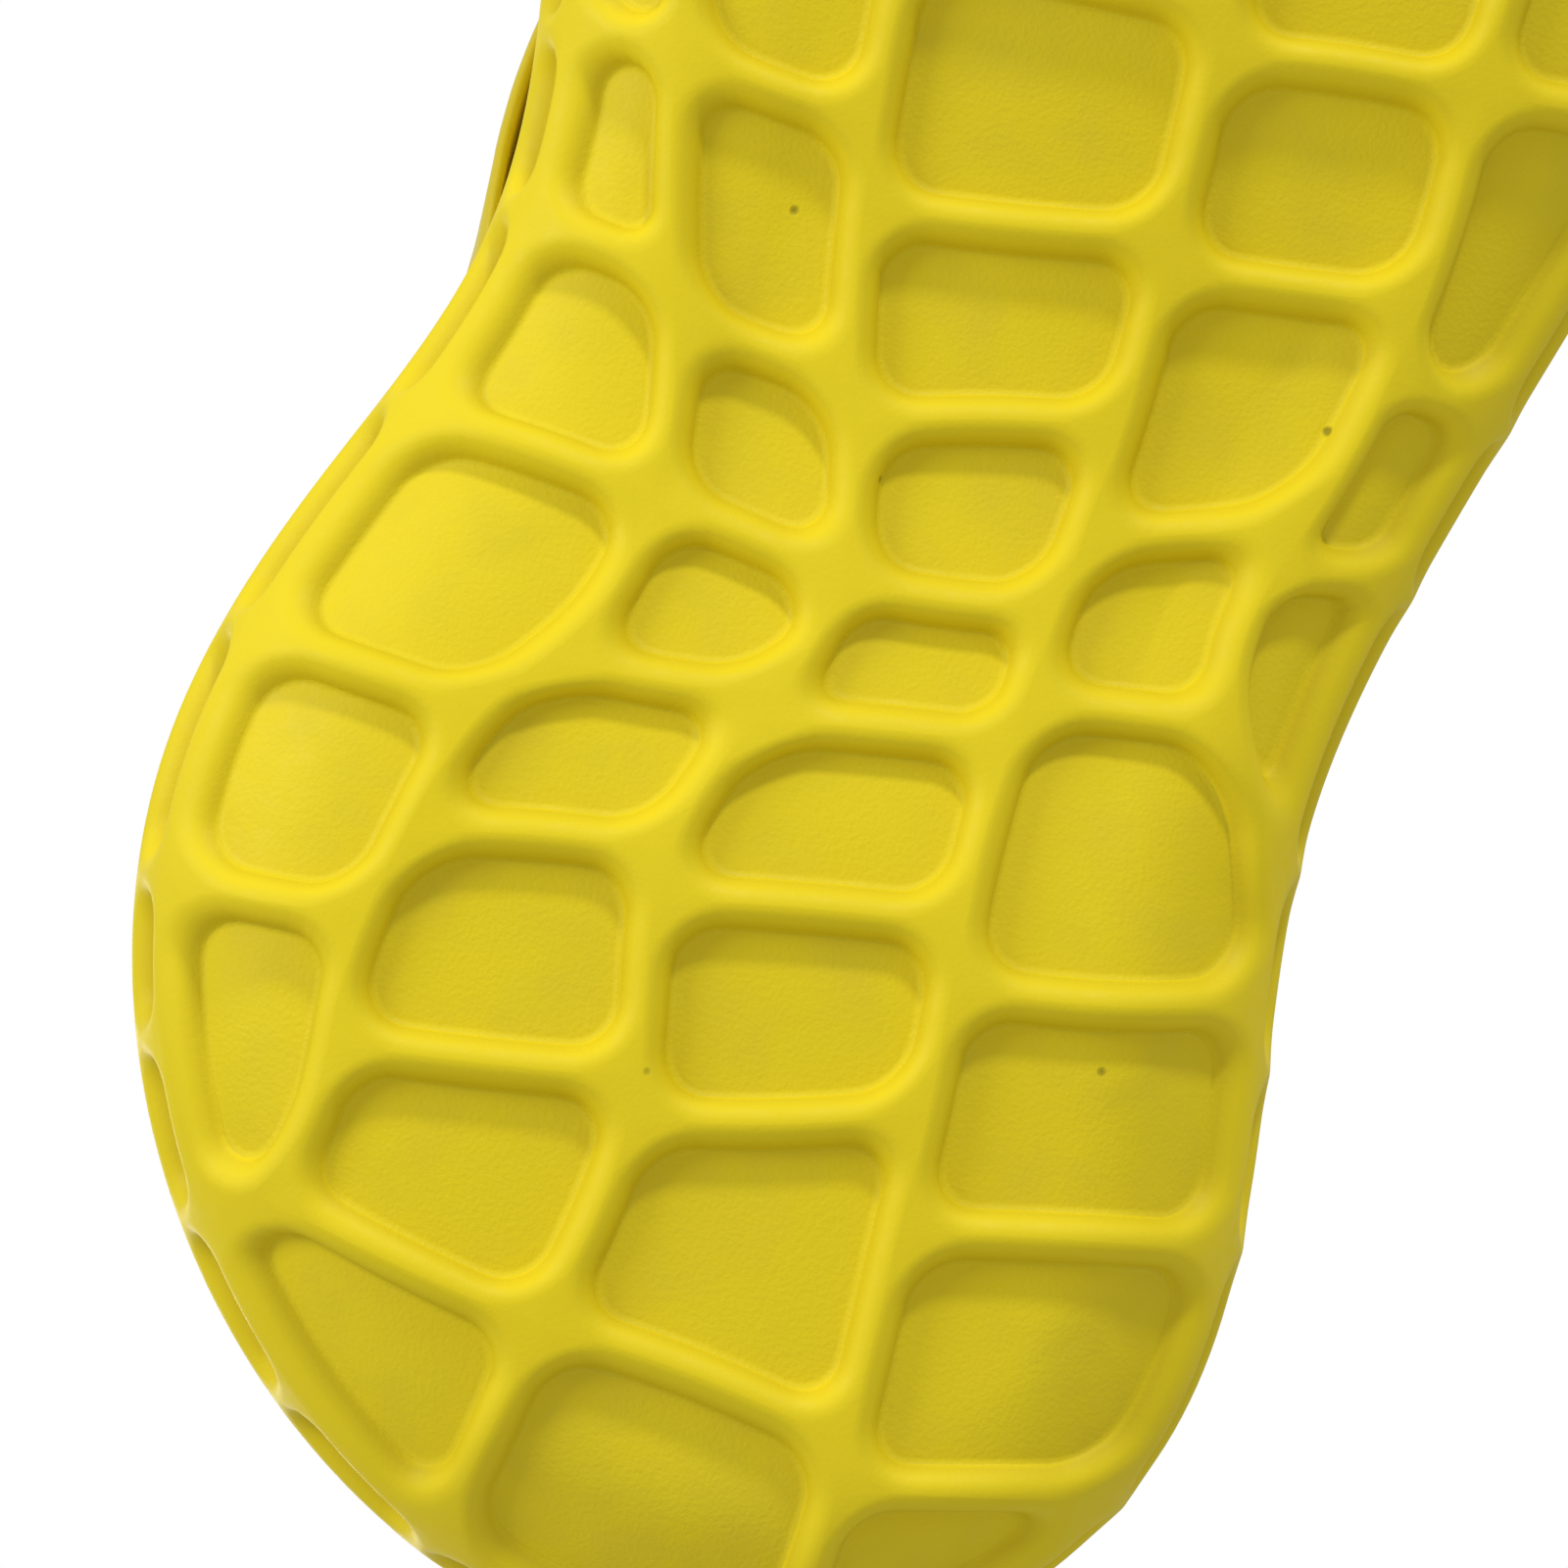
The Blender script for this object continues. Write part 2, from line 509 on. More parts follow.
def outsole_surface():
    surface = Surface()
    net, ring_run = tread_net()
    points = np.array(net.points)

    def tread_lift(xy, height):
        co, out = tread_surface(xy)
        return co - out * (NET_DEPTH - height)[:, None]

    numbers = surface.add(tread_lift(points, np.full(len(points), NET_DEPTH)))
    for loop in net.faces():
        add_cell(surface, [numbers[i] for i in loop], points[loop], tread_lift)

    # Side wall: one row of cells between the tread's ring and a second ring, then a plain band up to the rim.
    ring_s = np.array([s for s, _, _ in ring_run])
    ring_numbers = [numbers[n] for _, n, _ in ring_run]
    foot, normal, width = plan_frame(ring_s)
    profiles = [wall_profile(w, RING_INSET) for w in width]
    rim_z = RIM(foot[:, 1])
    top = np.array([np.interp(WALL_NET_TOP, z, v) for _, z, v in profiles])
    rim = np.array([np.interp(r, z, v) for r, (_, z, v) in zip(rim_z, profiles)])
    unrolled = np.unwrap(ring_s, period=PLAN_LENGTH)
    base_co = np.array([surface.co[i] for i in ring_numbers])

    def wall_point(index, v, height):
        """Point on the side wall at ring place index (fractional) and distance v above the ring."""
        out = []
        for i, dist, h in zip(index, v, height):
            s = np.interp(i, np.arange(len(unrolled) + 1), np.append(unrolled, unrolled[0] + PLAN_LENGTH))
            near = int(round(i)) % len(profiles)
            inset, z, arc = profiles[near]
            f, n, _ = plan_frame(s)
            spot = np.array([np.interp(dist, arc, inset), np.interp(dist, arc, z)])
            step = np.array([np.interp(dist + 0.2, arc, inset), np.interp(dist + 0.2, arc, z)]) - spot
            step /= np.linalg.norm(step)
            facing = np.array([-step[1], step[0]])  # outwards: less inset, lower
            facing = facing if facing[0] < 0 else -facing
            spot = spot - facing * (NET_DEPTH - h)
            xy = f + n * spot[0]
            blend = max(0.0, 1 - dist / 6.0)
            out.append((xy[0], xy[1], spot[1] + lift_of[near] * blend))
        return np.array(out)

    lift_of = base_co[:, 2] - np.array([z[0] for _, z, _ in profiles])
    spots = [i for i, (_, _, first) in enumerate(ring_run) if first]
    spots = even_spots(spots, unrolled, len(ring_run))
    upper = surface.add(wall_point(np.arange(len(ring_run)), top, np.full(len(ring_run), NET_DEPTH)))
    uprights = {}
    for i in spots:
        count = max(3, round(top[i] / STEP))
        v = top[i] * np.arange(1, count) / count
        made = surface.add(wall_point(np.full(len(v), i), v, np.full(len(v), NET_DEPTH)))
        uprights[i] = (list(made), list(v))
    for a, b in zip(spots, spots[1:] + [spots[0] + len(ring_run)]):
        run = [k % len(ring_run) for k in range(a, b + 1)]
        s_run = [unrolled[k] + (PLAN_LENGTH if a + n >= len(ring_run) else 0) for n, k in enumerate(run)]
        left, right = uprights[a % len(ring_run)], uprights[b % len(ring_run)]
        loop_numbers = [ring_numbers[k] for k in run] + right[0] + [upper[k] for k in run[::-1]] + left[0][::-1]
        loop = [(s, 0.0) for s in s_run]
        loop += [(s_run[-1], v) for v in right[1]]
        loop += [(s, top[k]) for s, k in zip(s_run[::-1], run[::-1])]
        loop += [(s_run[0], v) for v in left[1][::-1]]
        s_line, k_line = np.array(s_run), np.arange(a, b + 1)

        def wall_lift(sv, height, s_line=s_line, k_line=k_line):
            return wall_point(np.interp(sv[:, 0], s_line, k_line), sv[:, 1], height)

        add_cell(surface, loop_numbers, np.array(loop), wall_lift)

    rows = [upper]
    count = len(ring_run)
    for part in (0.12, 0.3, 0.55, 0.8, 1.0):
        v = top + (rim - RIM_ROUND - top) * part
        rows.append(surface.add(wall_point(np.arange(count), v, np.full(count, NET_DEPTH))))
    edge = wall_point(np.arange(count), rim - RIM_ROUND, np.full(count, NET_DEPTH))
    inward = np.column_stack([normal, np.zeros(count)])
    for turn in np.radians([30, 60, 90]):
        co = edge + inward * RIM_ROUND * (1 - math.cos(turn)) + np.array([0, 0, RIM_ROUND * math.sin(turn)])
        rows.append(surface.add(co))
    inner = form_at(ring_s / PLAN_LENGTH * COLUMNS, np.full(count, 20.0), np.full(count, -GAP))
    for out, z in ((0.8, RIM_ROUND), (0.25, 1.4), (0.0, 0.8)):
        co = inner - inward * out
        co[:, 2] = edge[:, 2] + z
        rows.append(surface.add(co))
    spine = np.column_stack([np.full(count, OFFSET_X), np.clip(inner[:, 1], *SPINE_ENDS)])
    for part, rise in ((0.0, 8.0), (0.0, 0.8), (0.02, 0.0), (0.2, 0.0), (0.45, 0.0), (0.7, 0.0), (0.95, 0.0)):
        xy = inner[:, :2] + (spine - inner[:, :2]) * part
        rows.append(surface.add(np.column_stack([xy, FLOOR(xy[:, 1]) + rise])))
    surface.strips_closed(rows)
    surface.close(rows[-1])
    return surface


def even_spots(spots, unrolled, count):
    """Ring places of the side wall's upright ribs: those of the tread's ribs where they are well spaced."""
    chosen = []
    for i in spots:
        if not chosen or unrolled[i] - unrolled[chosen[-1]] > UPRIGHT_LEAST:
            chosen.append(i)
    if unrolled[chosen[0]] + PLAN_LENGTH - unrolled[chosen[-1]] < UPRIGHT_LEAST:
        chosen.pop()
    filled = []
    for a, b in zip(chosen, chosen[1:] + [chosen[0] + count]):
        filled.append(a)
        end = unrolled[b % count] + (PLAN_LENGTH if b >= count else 0)
        extra = int((end - unrolled[a]) // UPRIGHT_MOST)
        filled += [round(a + (b - a) * (k + 1) / (extra + 1)) for k in range(extra)]
    return sorted(k % count for k in filled)


# --- Blender meshes ---


def make_mesh(name, surface, material):
    """A smooth mesh object that faces outwards, from the points in millimetres and the faces of a surface."""
    mesh = bpy.data.meshes.new(name)
    mesh.from_pydata((np.asarray(surface.co, float) * MM).tolist(), [], surface.faces)
    mesh.update()
    layer = mesh.attributes.new("relief", "FLOAT", "POINT")
    layer.data.foreach_set("value", np.asarray(surface.relief, np.float32))
    mesh.materials.append(material)
    work = bmesh.new()
    work.from_mesh(mesh)
    bmesh.ops.recalc_face_normals(work, faces=work.faces)
    work.to_mesh(mesh)
    work.free()
    return add_object(name, mesh)


def add_object(name, mesh):
    """Puts a smooth mesh in the scene on the clog's body."""
    mesh.polygons.foreach_set("use_smooth", [True] * len(mesh.polygons))
    thing = bpy.data.objects.new(name, mesh)
    bpy.context.scene.collection.objects.link(thing)
    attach(thing, "root")
    return thing


# --- Foot form and the layers on it ---

FORM_BASE_HEIGHT, INSTEP_HEIGHT, ANKLE_HEIGHT, FORM_POWER = 25.0, 60.0, 100.0, 2.3
FORM_HEIGHTS = np.array([4.0, 15.0, 25.0, 35.0, 45.0, 53.0, 60.0, 72.0, 86.0, 100.0, 112.0])
INSTEP = [
    (-2, 7), (15, 12), (27.5, 28), (31.5, 50), (31, 73), (30.5, 95), (32, 120), (36, 150),
    (35.5, 183), (28, 214), (15, 236), (2, 244), (-13, 241), (-28, 225), (-38, 199),
    (-41.5, 166), (-39, 130), (-35, 98), (-33, 74), (-33.5, 50), (-30.5, 28), (-18, 12),
]  # fmt: skip
ANKLE = [
    (-2, 11), (12, 15), (23, 29), (28, 49), (28.5, 69), (28, 87), (26, 104), (22, 120),
    (16, 132), (9.5, 139.5), (4, 142.6), (-1, 143.2), (-6, 142.8), (-11.5, 140.2), (-18.5, 133),
    (-25, 121), (-29, 105), (-31, 87), (-31.5, 69), (-31, 49), (-26.5, 29), (-16, 15),
]  # fmt: skip
COLUMNS = 1056
ALL = np.arange(0.0, COLUMNS, 4)
FORM_Z = np.arange(4.0, 112.01, 1.0)


def side_curve(points):
    """Height of a side view curve, as a function of y in the frame."""
    at, total, _ = spline(points)
    curve = at(np.linspace(0, total, 3000))
    return lambda y: np.interp(np.asarray(y) + LENGTH / 2, curve[:, 0], curve[:, 1])


RIM = side_curve([(-30, 34), (20, 32.5), (95, 28), (160, 27), (215, 27.5), (255, 31), (330, 41)])
FLOOR = side_curve(
    [(-30, 9), (50, 9), (75, 11.5), (96, 13.6), (116, 12), (145, 9), (235, 9), (262, 11.5), (330, 30)]
)
WEDGE = side_curve([(-30, 22), (50, 21), (110, 18.5), (175, 14.5), (230, 14.5), (262, 17), (330, 34)])
COLLAR = side_curve(
    [(-40, 78), (6, 72), (40, 63), (75, 60), (105, 67), (128, 83), (143, 101), (156, 130), (400, 130)]
)
TOE_GUARD = side_curve([(203, 5), (222, 34), (246, 49), (262, 60), (320, 70)])
HEEL_GUARD = side_curve([(-30, 62), (8, 58), (24, 48), (38, 34), (50, 5)])


def form_base():
    plan = placed(OUTLINE)
    along = np.roll(plan, -1, 0) - np.roll(plan, 1, 0)
    along /= np.linalg.norm(along, axis=1, keepdims=True)
    return plan + np.stack([-along[:, 1], along[:, 0]], -1) * (RIM_LEAN + CUP_WALL)


def form_table():
    """The foot form's surface and outward normals: a row for each millimetre up, a column for each place."""
    base, instep, ankle = form_base(), placed(INSTEP), placed(ANKLE)
    rows = []
    for z in FORM_HEIGHTS:
        low, high, part = instep, ankle, (z - INSTEP_HEIGHT) / (ANKLE_HEIGHT - INSTEP_HEIGHT)
        if z <= INSTEP_HEIGHT:
            low, high = base, instep
            part = (max(z - FORM_BASE_HEIGHT, 0) / (INSTEP_HEIGHT - FORM_BASE_HEIGHT)) ** FORM_POWER
        round_at = spline(low + (high - low) * part, closed=True, knots=PLAN_KNOTS)[0]
        rows.append(round_at(np.linspace(0, PLAN_LENGTH, COLUMNS, endpoint=False)))
    up_at = spline(np.array(rows).reshape(len(rows), -1), knots=FORM_HEIGHTS)[0]
    xy = up_at(FORM_Z - FORM_Z[0]).reshape(len(FORM_Z), COLUMNS, 2)
    co = np.concatenate([xy, np.broadcast_to(FORM_Z[:, None, None], xy.shape[:2] + (1,))], -1)
    out = np.cross(np.roll(co, -1, 1) - np.roll(co, 1, 1), np.gradient(co, axis=0))
    return np.concatenate([co, out / np.linalg.norm(out, axis=-1, keepdims=True)], -1)


FORM = form_table()


def form_at(column, z, depth=0.0):
    """Points on the foot form at places round it and heights, moved inwards by a depth."""
    row = np.clip(np.asarray(z, float) - FORM_Z[0], 0, len(FORM_Z) - 1.001)
    column = np.mod(column, COLUMNS)
    i, j = row.astype(int), column.astype(int)
    u, v = (row - i)[..., None], (column - j)[..., None]
    k = (j + 1) % COLUMNS
    low, high = FORM[i, j] * (1 - v) + FORM[i, k] * v, FORM[i + 1, j] * (1 - v) + FORM[i + 1, k] * v
    spot = low * (1 - u) + high * u
    return spot[..., :3] - spot[..., 3:] * np.asarray(depth, float)[..., None]


def height_under(curve):
    """For each column of the table, the height where the foot form rises through a side view curve."""
    over = FORM_Z[:, None] - curve(FORM[..., 1])
    k = np.maximum((over >= 0).argmax(0), 1)
    a, b = over[k - 1, np.arange(COLUMNS)], over[k, np.arange(COLUMNS)]
    return FORM_Z[k - 1] + np.clip(-a / np.maximum(b - a, 1e-6), 0, 1)


def round_value(values, column):
    """A value kept for each column of the table, read between columns."""
    column = np.mod(column, COLUMNS)
    j = column.astype(int)
    return values[j] + (values[(j + 1) % COLUMNS] - values[j]) * (column - j)


COLLAR_Z = height_under(COLLAR)


def loop_piece(name, rows, material, closed=True):
    """A piece whose rows each go once round the clog; a closed one is a tube, the other has both ends capped."""
    surface = Surface()
    rings = [surface.add(row) for row in rows]
    surface.strips_closed(rings + ([rings[0]] if closed else []))
    if not closed:
        surface.close(rings[0])
        surface.close(rings[-1])
    thing = make_mesh(name, surface, material)
    around = np.concatenate([[0], np.cumsum(np.linalg.norm(np.diff(rows[len(rows) // 2], axis=0), axis=1))])
    up = np.cumsum([0] + [float(np.linalg.norm(b - a, axis=1).mean()) for a, b in zip(rows, rows[1:])])
    unroll(thing, np.tile(around, len(rows)), np.repeat(up, len(around)))
    return thing


def unroll(thing, u, v):
    """A UV map in millimetres, round the piece and over its section; it stays whole where each row closes."""
    mesh = thing.data
    corner = np.zeros(len(mesh.loops), int)
    mesh.loops.foreach_get("vertex_index", corner)
    sizes = np.zeros(len(mesh.polygons), int)
    mesh.polygons.foreach_get("loop_total", sizes)
    face = np.repeat(np.arange(len(sizes)), sizes)
    uv = np.stack([u[corner], v[corner]], -1)
    for k, total in enumerate((u.max() + 2.6, v.max() + 1.0)):
        most = np.full(len(sizes), -1e9)
        np.maximum.at(most, face, uv[:, k])
        wrapped = most[face] - uv[:, k] > total / 2
        uv[wrapped, k] += total
    mesh.uv_layers.new(name="UVMap").data.foreach_set("uv", uv.ravel())


def upper_shell(material):
    """The rubber upper, with a moulded bead that follows the opening at some distance."""
    top = round_value(COLLAR_Z, ALL) - 1.2
    bottom = FLOOR(form_at(ALL, np.full(len(ALL), 14.0))[:, 1]) + 0.5
    steps = [(0, 0), (3, 0), (6, 0), (9, 0), (11, 0), (12.4, 0), (12.6, 0.22), (13.0, 0.42), (13.7, 0.55)]
    steps += [(14.4, 0.42), (14.8, 0.22), (15, 0), (16.5, 0), (19, 0), (22, 0), (25, 0)]
    outer = [form_at(ALL, top - down, np.full(len(ALL), -rise)) for down, rise in steps]
    low = top - 25
    outer += [form_at(ALL, low + (bottom - low) * t) for t in np.linspace(0, 1, 26)[1:]]
    inner = [form_at(ALL, bottom + (top - bottom) * t, np.full(len(ALL), SHELL)) for t in np.linspace(0, 1, 40)]
    return loop_piece("Rubber_Upper", outer + inner, material)


def lining(material):
    top = round_value(COLLAR_Z, ALL) - 1.4
    bottom = WEDGE(form_at(ALL, np.full(len(ALL), 20.0))[:, 1]) + 3.0
    heights = [bottom + (top - bottom) * t for t in np.linspace(0, 1, 44)]
    outer = [form_at(ALL, z, np.full(len(ALL), SHELL + GAP)) for z in heights]
    inner = [form_at(ALL, z, np.full(len(ALL), LINING_IN)) for z in heights[::-1]]
    return loop_piece("Lining", outer + inner, material)


def collar_binding(material):
    """Rubber edge rolled over the tops of the shell and the lining, all the way round the opening."""
    places = np.arange(0.0, COLUMNS, 3)
    height = round_value(COLLAR_Z, places)
    rim = form_at(places, height)
    down = form_at(places, height - 1.5) - rim
    down /= np.linalg.norm(down, axis=1, keepdims=True)
    out = np.cross(np.roll(rim, -1, 0) - np.roll(rim, 1, 0), down)
    out /= np.linalg.norm(out, axis=1, keepdims=True)
    out *= np.sign(((rim - form_at(places, height, np.full(len(places), 3.0))) * out).sum(1))[:, None]
    inside = -LINING_IN
    radius = LINING_IN / 2 + 1.4
    section = [(9.0, 0.15), (9.3, 0.5), (9.1, 0.95), (8.4, 1.25), (7.0, 1.35), (5.2, 1.4), (3.4, 1.4)]
    for turn in np.radians(np.arange(4, 180, 17.2)):
        section.append((1.5 - radius * math.sin(turn), inside / 2 + radius * math.cos(turn)))
    section += [(3.0, inside - 1.4), (4.6, inside - 1.2), (5.3, inside - 0.7), (5.2, inside - 0.2)]
    section += [(3.0, inside - 0.15), (0.7, inside - 0.15), (0.6, 0.1), (4.0, 0.1)]
    return loop_piece("Collar_Binding", [rim + down * a + out * b for a, b in section], material)


def guard(name, curve, thickness, material, rows, spacing):
    """A rubber layer bonded over the shell from the rim up to a side view curve.

    thickness(height over the rim, height left above, distance from the ends, points) is the layer's own.
    """
    top = height_under(curve)
    low = RIM(FORM[24, :, 1]) + 0.35
    tall = top - low > 0.6
    start = next(j for j in range(COLUMNS) if tall[j] and not tall[j - 1])
    count = next(n for n in range(COLUMNS) if not tall[(start + n) % COLUMNS])
    columns = start + np.linspace(0, count - 1, int(count / spacing))
    low, top = round_value(low, columns), round_value(top, columns)
    spots = form_at(columns, low)
    walked = np.concatenate([[0], np.cumsum(np.linalg.norm(np.diff(spots, axis=0), axis=1))])
    from_end = np.minimum(walked, walked[-1] - walked)
    surface = Surface()
    faces_of = []
    for outer in (True, False):
        grid = []
        for t in np.linspace(0, 1, rows) ** 0.9:
            z = low + (top - low) * t
            spot = form_at(columns, z, np.full(len(columns), -0.08))
            if outer:
                rise = thickness(z - low, top - z, from_end, spot)
                spot = form_at(columns, z, -0.1 - rise)
            grid.append(surface.add(spot))
        faces_of.append(grid)
    for grid in faces_of:
        for a, b in zip(grid, grid[1:]):
            surface.strip(a, b, closed=False)
    rims = []
    for g in faces_of:
        rims.append(g[0] + [r[-1] for r in g[1:-1]] + g[-1][::-1] + [r[0] for r in g[1:-1]][::-1])
    surface.strip(*rims)
    return make_mesh(name, surface, material)


def shoulder(distance, width):
    """0 at an edge, 1 from some way in, with a round shoulder between."""
    return np.sqrt(1 - (1 - np.clip(distance / width, 0, 1)) ** 2)


def toe_guard(material):
    def thickness(above, left, from_end, spot):
        groove = np.zeros(len(above))
        for line in (6.0, 9.6):
            groove += 0.55 * np.clip(1 - np.abs(left - line) / 0.9, 0, 1)
        return (GUARD - groove) * shoulder(left, 2.4) * shoulder(from_end, 5.0) * shoulder(above, 0.6)

    return guard("Toe_Guard", TOE_GUARD, thickness, material, 64, 2.0)


def heel_guard(material):
    def thickness(above, left, from_end, spot):
        reach = shoulder(LEDGE_WIDTH / 2 + 2.75 - np.abs(spot[:, 0] - OFFSET_X + 2.75), 5.0)
        fall = np.exp(-(((above - 2.6) / 2.0) ** 2))
        ledge = reach * np.where(above < 2.6, shoulder(above + 0.2, 1.4), fall)
        ridges = 1 - 0.13 * (0.5 + 0.5 * np.tanh(4 * np.cos(spot[:, 0] * 2 * math.pi / 3.6)))
        layer = GUARD * shoulder(left, 2.4) * shoulder(from_end, 5.0) * shoulder(above, 0.6)
        return layer + LEDGE_REACH * ledge * ridges

    return guard("Heel_Guard", HEEL_GUARD, thickness, material, 80, 0.6)


SPINE_ENDS = (-104, 98)  # y of the ends of the line that flat-lying pieces are drawn in towards


def slab_rows(inset, bottom, top, edge):
    """Rows over a flat-lying piece, from the middle of its underside over the edge to the middle of its top."""
    outline = form_at(ALL, np.full(len(ALL), 17.0), np.full(len(ALL), inset))[:, :2]
    spine = np.column_stack([np.full(len(ALL), OFFSET_X), np.clip(outline[:, 1], *SPINE_ENDS)])
    reach = np.linalg.norm(spine - outline, axis=1)

    def row(distance, height, rise=0.0):
        part = np.clip(distance / reach, 0, 0.97)[:, None]
        xy = outline + (spine - outline) * part
        return np.column_stack([xy, height(xy[:, 1]) + rise])

    far = [0.97, 0.85, 0.7, 0.55, 0.42, 0.3, 0.2, 0.13]
    rows = [row(reach * p, bottom) for p in far]
    rows += [row(edge, bottom), row(edge * 0.3, bottom, edge * 0.3), row(0.0, bottom, edge)]
    rows += [row(0.0, top, -edge), row(edge * 0.3, top, -edge * 0.3), row(edge, top)]
    return rows + [row(reach * p, top) for p in far[::-1]]


def over_wedge(height):
    """A height over the midsole wedge, as a function of y."""
    return lambda y: WEDGE(y) + height


def footbed(material):
    rows = slab_rows(LINING_IN + 0.7, over_wedge(2.8), over_wedge(7.4), 1.2)
    return loop_piece("Footbed", rows, material, closed=False)


COVER_INSET, COVER_LOW, COVER_HIGH = LINING_IN + 0.8, 7.7, 8.5


def footbed_cover(material):
    rows = slab_rows(COVER_INSET, over_wedge(COVER_LOW), over_wedge(COVER_HIGH), 0.35)
    return loop_piece("Footbed_Cover", rows, material, closed=False)


def stitches(name, path, material, spacing=3.4, thread=0.45, length=2.6):
    """Machine stitches along a closed path, in millimetres: short threads set end to end by one node tree."""
    tree = bpy.data.node_groups.new(name + "_Tree", "GeometryNodeTree")
    face = tree.interface
    face.new_socket("Path", in_out="INPUT", socket_type="NodeSocketGeometry")
    settings = {"Spacing": spacing * MM, "Thread Radius": thread * MM, "Stitch Length": length * MM}
    kinds = dict.fromkeys(settings, "NodeSocketFloat") | {"Thread": "NodeSocketMaterial"}
    sockets = {key: face.new_socket(key, in_out="INPUT", socket_type=kinds[key]).identifier for key in kinds}
    face.new_socket("Stitches", in_out="OUTPUT", socket_type="NodeSocketGeometry")
    given = tree.nodes.new("NodeGroupInput").outputs
    along = {"Curve": given["Path"], "Length": given["Spacing"]}
    points = node(tree, "GeometryNodeCurveToPoints", along, mode="LENGTH")
    turn = node(tree, "FunctionNodeAlignRotationToVector", {"Vector": points.outputs["Tangent"]}, axis="X")
    half = node(tree, "ShaderNodeMath", {0: given["Stitch Length"], 1: 0.5}, operation="MULTIPLY")
    radius = given["Thread Radius"]
    shape = node(tree, "ShaderNodeCombineXYZ", {0: half.outputs[0], 1: radius, 2: radius})
    ball = node(tree, "GeometryNodeMeshIcoSphere", {"Radius": 1.0, "Subdivisions": 2})
    placed_ones = node(
        tree,
        "GeometryNodeInstanceOnPoints",
        {
            "Points": points.outputs["Points"],
            "Instance": ball.outputs["Mesh"],
            "Rotation": turn.outputs["Rotation"],
            "Scale": shape.outputs["Vector"],
        },
    )
    real = node(tree, "GeometryNodeRealizeInstances", {"Geometry": placed_ones.outputs["Instances"]})
    whole = {"Geometry": real.outputs["Geometry"], "Material": given["Thread"]}
    done = node(tree, "GeometryNodeSetMaterial", whole)
    node(tree, "NodeGroupOutput", {"Stitches": done.outputs["Geometry"]})

    curve = bpy.data.curves.new(name + "_Path", "CURVE")
    curve.dimensions = "3D"
    line = curve.splines.new("POLY")
    line.points.add(len(path) - 1)
    line.points.foreach_set("co", np.column_stack([np.asarray(path) * MM, np.ones(len(path))]).ravel())
    line.use_cyclic_u = True
    holder = bpy.data.objects.new(name + "_Path", curve)
    bpy.context.scene.collection.objects.link(holder)
    rule = holder.modifiers.new("Stitches", "NODES")
    rule.node_group = tree
    for key, value in settings.items():
        rule[sockets[key]] = value
    rule[sockets["Thread"]] = material
    graph = bpy.context.evaluated_depsgraph_get()
    mesh = bpy.data.meshes.new_from_object(holder.evaluated_get(graph), depsgraph=graph)
    mesh.name = name
    holder.modifiers.clear()
    bpy.data.objects.remove(holder)
    return add_object(name, mesh)


def cover_stitches(material):
    outline = form_at(ALL, np.full(len(ALL), 17.0), np.full(len(ALL), COVER_INSET + 4.5))
    path = np.column_stack([outline[:, :2], over_wedge(COVER_HIGH + 0.12)(outline[:, 1])])
    return stitches("Cover_Stitching", path, material)


# --- Materials ---


def linear(code):
    """A hex sRGB colour as linear RGBA."""
    parts = [int(code[i : i + 2], 16) / 255 for i in (1, 3, 5)]
    return [c / 12.92 if c <= 0.04045 else ((c + 0.055) / 1.055) ** 2.4 for c in parts] + [1.0]


def node(tree, kind, inputs=None, **settings):
    """Adds a shader node, with settings, and with inputs that are values or other nodes' outputs."""
    made = tree.nodes.new(kind)
    for name, value in settings.items():
        setattr(made, name, value)
    for name, value in (inputs or {}).items():
        if isinstance(value, bpy.types.NodeSocket):
            tree.links.new(value, made.inputs[name])
        else:
            made.inputs[name].default_value = value
    return made


def new_material(name, comment):
    material = bpy.data.materials.new(name)
    material.use_nodes = True
    material["comment"] = comment
    material.node_tree.nodes.clear()
    return material, material.node_tree


def sum_of(tree, operation, *values):
    """A maths node's output for values that are numbers or other nodes' outputs."""
    return node(tree, "ShaderNodeMath", dict(enumerate(values)), operation=operation).outputs[0]


def finish(tree, colour, roughness, height, depth, **more):
    """Surface with a colour, roughness and bump: depth is the bump's real height in metres."""
    bump = node(tree, "ShaderNodeBump", {"Height": height, "Strength": 1.0, "Distance": depth})
    inputs = {"Base Color": colour, "Roughness": roughness, "Normal": bump.outputs["Normal"]}
    inputs.update({key.replace("_", " "): value for key, value in more.items()})
    shader = node(tree, "ShaderNodeBsdfPrincipled", inputs)
    node(tree, "ShaderNodeOutputMaterial", {"Surface": shader.outputs["BSDF"]})


def clouds(tree, place, scale, detail=4.0):
    return node(tree, "ShaderNodeTexNoise", {"Vector": place, "Scale": scale, "Detail": detail}).outputs["Fac"]


def mixed(tree, factor, first, second):
    inputs = {"Factor": factor, "A": first if not isinstance(first, str) else linear(first)}
    inputs["B"] = linear(second) if isinstance(second, str) else second
    return node(tree, "ShaderNodeMix", inputs, data_type="RGBA").outputs["Result"]


def spread(tree, value, low, high, first=0.0, last=1.0):
    inputs = {"Value": value, "From Min": low, "From Max": high, "To Min": first, "To Max": last}
    return node(tree, "ShaderNodeMapRange", inputs).outputs["Result"]


